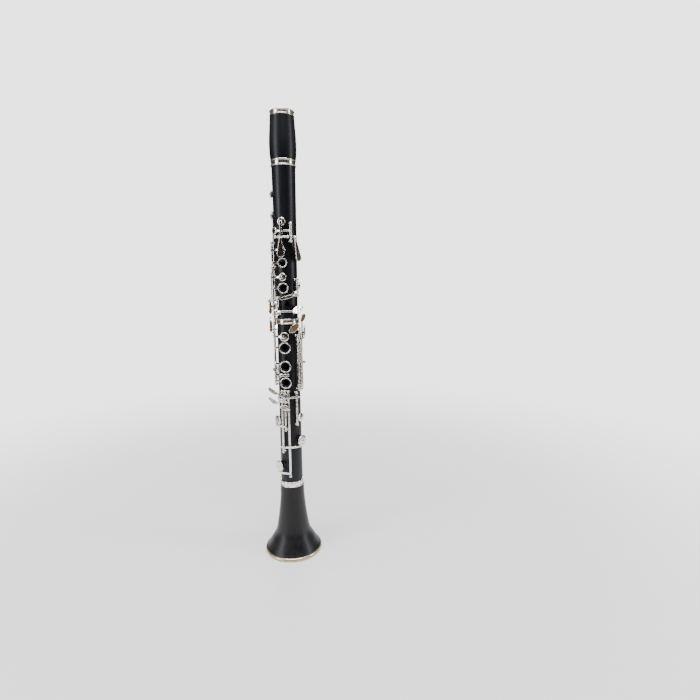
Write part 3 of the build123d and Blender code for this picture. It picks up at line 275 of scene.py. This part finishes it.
def baked(mesh, name, modifiers):
    """A new mesh from a mesh and a list of (modifier kind, settings)."""
    holder = bpy.data.objects.new(name + "_holder", mesh)
    bpy.context.scene.collection.objects.link(holder)
    for kind, settings in modifiers:
        modifier = holder.modifiers.new(kind.lower(), kind)
        for key, value in settings.items():
            setattr(modifier, key, value)
    graph = bpy.context.evaluated_depsgraph_get()
    result = bpy.data.meshes.new_from_object(holder.evaluated_get(graph))
    bpy.data.objects.remove(holder)
    result.name = name
    return result


def forged(node, voxel, rounding, keep):
    """Copy of a CAD node with every edge worn round, as on cast and polished key work.

    Voxel is its size in millimetres, rounding the rounds of smoothing, and keep the share of faces kept.
    """
    mesh = baked(NODES[node].data, node + "_forged",
                 (("REMESH", {"mode": "VOXEL", "voxel_size": voxel * MM}),
                  ("SMOOTH", {"factor": 0.5, "iterations": rounding}),
                  ("DECIMATE", {"ratio": keep})))
    mesh.shade_smooth()
    return mesh


SEGMENTS = 160               # faces round a turned piece
SHARP_EDGE = 40              # degrees between faces above which an edge stays sharp


def lathe(name, outline):
    """Solid of revolution about the bore axis from a closed outline of (radius, height) in millimetres."""
    work = bmesh.new()
    loops = []
    for radius, z in outline:
        angles = (2 * pi * i / SEGMENTS for i in range(SEGMENTS))
        loops.append([work.verts.new((radius * MM * cos(a), radius * MM * sin(a), z * MM)) for a in angles])
    for low, high in zip(loops, loops[1:] + loops[:1]):
        for i in range(SEGMENTS):
            j = (i + 1) % SEGMENTS
            work.faces.new((low[i], low[j], high[j], high[i]))
    bmesh.ops.recalc_face_normals(work, faces=work.faces)
    mesh = bpy.data.meshes.new(name)
    work.to_mesh(mesh)
    work.free()
    smooth_by_angle(mesh, SHARP_EDGE)
    return mesh


def arc(centre, radius, start, end, steps):
    """Points of a round bead, between two angles in degrees."""
    r, z = centre
    angles = (radians(start + (end - start) * i / steps) for i in range(steps + 1))
    return [(r + radius * cos(a), z + radius * sin(a)) for a in angles]


def flowing(points, steps=8):
    """Points of a smooth curve through outline points, a Catmull-Rom spline."""
    ends = [points[0], *points, points[-1]]
    result = []
    for p0, p1, p2, p3 in zip(ends, ends[1:], ends[2:], ends[3:]):
        for i in range(steps):
            t = i / steps
            result.append(tuple(
                0.5 * (2 * b + (c - a) * t + (2 * a - 5 * b + 4 * c - d) * t * t
                       + (3 * b - a - 3 * c + d) * t ** 3) for a, b, c, d in zip(p0, p1, p2, p3)))
    return result + [points[-1]]


def span(node):
    """Lowest and highest point of a CAD node along the bore, and its outer radius, in millimetres."""
    low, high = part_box(node)
    return low[2] / MM, high[2] / MM, high[0] / MM


# ---------------------------------------------------------------- keys, posts and pads
# By material slot: end of the name, voxel in millimetres, rounds of smoothing, share of the faces kept
FORGED = {
    "silver_keys": ("_metal", 0.26, 12, 0.4),
    "silver_posts": ("_metal", 0.22, 3, 0.4),
    "pads": ("_skin", 0.20, 10, 0.5),
}

for node, slot in SLOT_OF.items():
    if slot in FORGED:
        ending, voxel, rounding, keep = FORGED[slot]
        piece = stand_in(node, ending, forged(node, voxel, rounding, keep))


# ---------------------------------------------------------------- rings, barrel and bell
# All in millimetres. Outlines are points of (radius, height), closed by the lathe
SOCKET_RADIUS, BORE_RADIUS, BELL_THROAT = 12.2, 7.3, 11.0
SOCKET_EDGE = 0.3            # chamfer round the mouth of a socket
MOUTHPIECE_SOCKET, TENON_ROOM, BELL_SOCKET = 18, 19, 20
RING_WALL = 1.9
LIP_WALL, LIP_STEP = 3, 1.6  # depth of the metal rim, and how far the wood stops inside its edge
BELL_OUTSIDE = ((35.3, 8.6), (30.3, 17), (24.2, 28.5), (20.8, 45.5), (18.5, 63), (16.9, 80))
BELL_INSIDE = ((12.4, 62), (16.4, 38), (24.0, 16), (33.5, 0.0))


def turned_piece(node, outline):
    """Lathe-turned piece that stands for a CAD node."""
    stand_in(node, "_turned", lathe(node + "_turned", outline))


def ring_outline(ring):
    """Turned metal ring: a rounded bead at each end, a flat band and two fine grooves between them."""
    low, high, outer = span(ring)
    inner = outer - RING_WALL
    bead, band, groove = 0.8, 0.55, 0.18     # radius of a bead, sink of the band, depth of a groove
    inset, mouth, floor = 0.5, 0.3, 0.1      # bead to groove, and half the width of a groove at top and floor
    outline = [(inner, low), *arc((outer - bead, low + bead), bead, -90, 90, 10)]
    for place in (low + 2 * bead + inset, high - 2 * bead - inset):
        outline += [(outer - band, place - mouth), (outer - band - groove, place - floor),
                    (outer - band - groove, place + floor), (outer - band, place + mouth)]
    outline += [*arc((outer - bead, high - bead), bead, -90, 90, 10), (inner, high)]
    return outline


def barrel_outline():
    """Bellied barrel with a socket at each end and the narrow bore between them."""
    low, high, belly = span("barrel")
    _, low_wood, foot = span("barrel_bottom_ring")
    high_wood, _, neck = span("barrel_top_ring")
    foot -= 0.15
    neck -= 0.25
    foot_boss, neck_boss = foot - 1.6, neck - 1.4          # the wood inside each ring
    belly_z = low_wood + 0.29 * (high_wood - low_wood)
    outside = flowing([(foot, low_wood), (belly - 0.45, low_wood + 5), (belly, belly_z),
                       (belly - 0.25, belly_z + 12), (neck + 0.45, high_wood - 8), (neck, high_wood)])
    return [*outside, (neck_boss, high_wood), (neck_boss, high), (SOCKET_RADIUS + SOCKET_EDGE, high),
            (SOCKET_RADIUS, high - SOCKET_EDGE), (SOCKET_RADIUS, high - MOUTHPIECE_SOCKET),
            (BORE_RADIUS, high - MOUTHPIECE_SOCKET), (BORE_RADIUS, low + TENON_ROOM),
            (SOCKET_RADIUS, low + TENON_ROOM), (SOCKET_RADIUS, low), (foot_boss, low), (foot_boss, low_wood)]


def bell_outline():
    """Bell that widens slowly, flares out to a thin lip and is hollow along the same curve."""
    top = span("bell")[1]
    wood_top, _, neck = span("bell_socket_ring")
    _, lip_z, lip = span("bell_rim_ring")
    neck -= 0.1
    boss = neck - 2.1                                      # the wood inside the socket ring
    socket_floor = top - BELL_SOCKET
    outside = flowing([(lip - LIP_STEP, lip_z), *BELL_OUTSIDE, (neck, wood_top)], steps=12)
    inside = flowing([(BELL_THROAT, socket_floor), *BELL_INSIDE], steps=12)
    return [*outside, (boss, wood_top), (boss, top), (SOCKET_RADIUS + SOCKET_EDGE, top),
            (SOCKET_RADIUS, top - SOCKET_EDGE), (SOCKET_RADIUS, socket_floor), *inside,
            (lip - LIP_WALL, 0.0), (lip - LIP_WALL, lip_z)]


def rim_outline():
    """Rounded metal bead round the lip of the bell."""
    _, top, outer = span("bell_rim_ring")
    half = top / 2
    return [(outer - LIP_WALL, 0.0), *arc((outer - half, half), half, -90, 62, 12), (outer - LIP_STEP, top),
            (outer - LIP_WALL, top)]


for ring in ("barrel_top_ring", "barrel_bottom_ring", "bell_socket_ring", "lower_joint_ring"):
    turned_piece(ring, ring_outline(ring))
turned_piece("barrel", barrel_outline())
turned_piece("bell", bell_outline())
turned_piece("bell_rim_ring", rim_outline())

# ---------------------------------------------------------------- studio
PALE = (2.3, 2.3, 2.28)
PAPER_RADIUS = 4.0
FADE_START, FADE_END = 0.25, 1.1     # distance from the bore at which the paper starts and ends its fading
LIGHT_TARGET = Vector((0, 0, 0.3))   # the middle of the instrument


def studio_floor():
    """Pale paper round the instrument that fades out into the equally pale background."""
    mesh = bpy.data.meshes.new("studio_floor")
    work = bmesh.new()
    bmesh.ops.create_circle(work, cap_ends=True, segments=96, radius=PAPER_RADIUS)
    work.to_mesh(mesh)
    work.free()
    floor = bpy.data.objects.new("studio_floor", mesh)
    bpy.context.scene.collection.objects.link(floor)
    paper = Shader("paper")
    fibres = paper.noise(paper.place, 60, detail=5)
    distance = paper.add("ShaderNodeVectorMath", operation="LENGTH")
    paper.link(paper.place, distance.inputs[0])
    fade = paper.spread(distance.outputs["Value"], 1.0, 0.0, FADE_START, FADE_END,
                        interpolation_type="SMOOTHSTEP")
    paper.set(Base_Color=paper.mix(fibres, (0.80, 0.80, 0.795), (0.84, 0.84, 0.835)), Roughness=0.9,
              Specular_IOR_Level=0.1, Alpha=fade)
    mesh.materials.append(paper.material)


def softbox(name, azimuth, elevation, distance, size, power, colour=(1, 1, 1)):
    """Rectangular area light that faces the middle of the instrument."""
    a, e = radians(azimuth), radians(elevation)
    away = Vector((sin(a) * cos(e), -cos(a) * cos(e), sin(e)))
    data = bpy.data.lights.new(name, "AREA")
    data.shape = "RECTANGLE"
    data.size, data.size_y = size
    data.energy = power
    data.color = colour
    lamp = bpy.data.objects.new(name, data)
    lamp.location = LIGHT_TARGET + away * distance
    lamp.rotation_mode = "QUATERNION"
    lamp.rotation_quaternion = (-away).to_track_quat("-Z", "Y")
    bpy.context.scene.collection.objects.link(lamp)


def studio_world():
    """Pale background behind the object; reflections see a warm dark room under a bright ceiling."""
    world = bpy.data.worlds.new("studio")
    bpy.context.scene.world = world
    world.use_nodes = True
    studio = NodeTree(world.node_tree)
    direction = studio.add("ShaderNodeTexCoord").outputs["Generated"]
    split = studio.add("ShaderNodeSeparateXYZ")
    studio.link(direction, split.inputs["Vector"])
    height = studio.spread(split.outputs["Z"], 0.0, 1.0, -1.0, 1.0)
    room = studio.ramp(height, ((0.0, (0.30, 0.28, 0.26)), (0.47, (0.20, 0.13, 0.07)),
                                (0.51, (0.035, 0.022, 0.014)), (0.60, (0.05, 0.04, 0.035)),
                                (0.74, (0.45, 0.47, 0.50)), (1.0, (1.0, 1.0, 1.0))))
    around = studio.add("ShaderNodeTexWave", wave_profile="SIN")
    around.inputs["Scale"].default_value = 0.9
    around.inputs["Distortion"].default_value = 2.5
    studio.link(direction, around.inputs["Vector"])
    walls = studio.mix(0.85, room, around.outputs["Color"], "MULTIPLY")
    seen_directly = studio.add("ShaderNodeLightPath").outputs["Is Camera Ray"]
    background = studio.tree.nodes["Background"]
    studio.link(studio.mix(seen_directly, walls, PALE), background.inputs["Color"])
    background.inputs["Strength"].default_value = 1.3


studio_floor()
softbox("left_window", -48, 14, 1.3, (0.45, 1.2), 12, (0.94, 0.97, 1.0))
softbox("right_window", 88, 10, 1.3, (0.22, 1.2), 9, (0.92, 0.96, 1.0))
softbox("overhead", 10, 78, 1.6, (1.2, 1.2), 52)
softbox("behind", 190, 30, 1.7, (0.8, 0.8), 12)
studio_world()

# ---------------------------------------------------------------- camera
# Its line of sight passes beside the bore, at CAMERA_DISTANCE from the camera and CAMERA_ASIDE to the side
CAMERA_DISTANCE, CAMERA_HEIGHT, CAMERA_ASIDE = 0.600, 0.3846, 0.083
CAMERA_AZIMUTH, CAMERA_PITCH, CAMERA_ROLL = 16.0, 9.22, -0.36
SENSOR_WIDTH, FOCAL_LENGTH, NEAREST = 36.0, 23.14, 0.01

camera_data = bpy.data.cameras.new("camera")
camera_data.sensor_width = SENSOR_WIDTH
camera_data.lens = FOCAL_LENGTH
camera_data.clip_start = NEAREST
camera = bpy.data.objects.new("camera", camera_data)
bpy.context.scene.collection.objects.link(camera)
bpy.context.scene.camera = camera
reach = hypot(CAMERA_DISTANCE, CAMERA_ASIDE)
azimuth = radians(CAMERA_AZIMUTH)
camera.location = (reach * sin(azimuth), -reach * cos(azimuth), CAMERA_HEIGHT)
aim = azimuth - atan(CAMERA_ASIDE / CAMERA_DISTANCE)
look = (Matrix.Rotation(aim, 4, "Z") @ Matrix.Rotation(radians(90 - CAMERA_PITCH), 4, "X")
        @ Matrix.Rotation(radians(CAMERA_ROLL), 4, "Z"))
camera.rotation_mode = "QUATERNION"
camera.rotation_quaternion = look.to_quaternion()
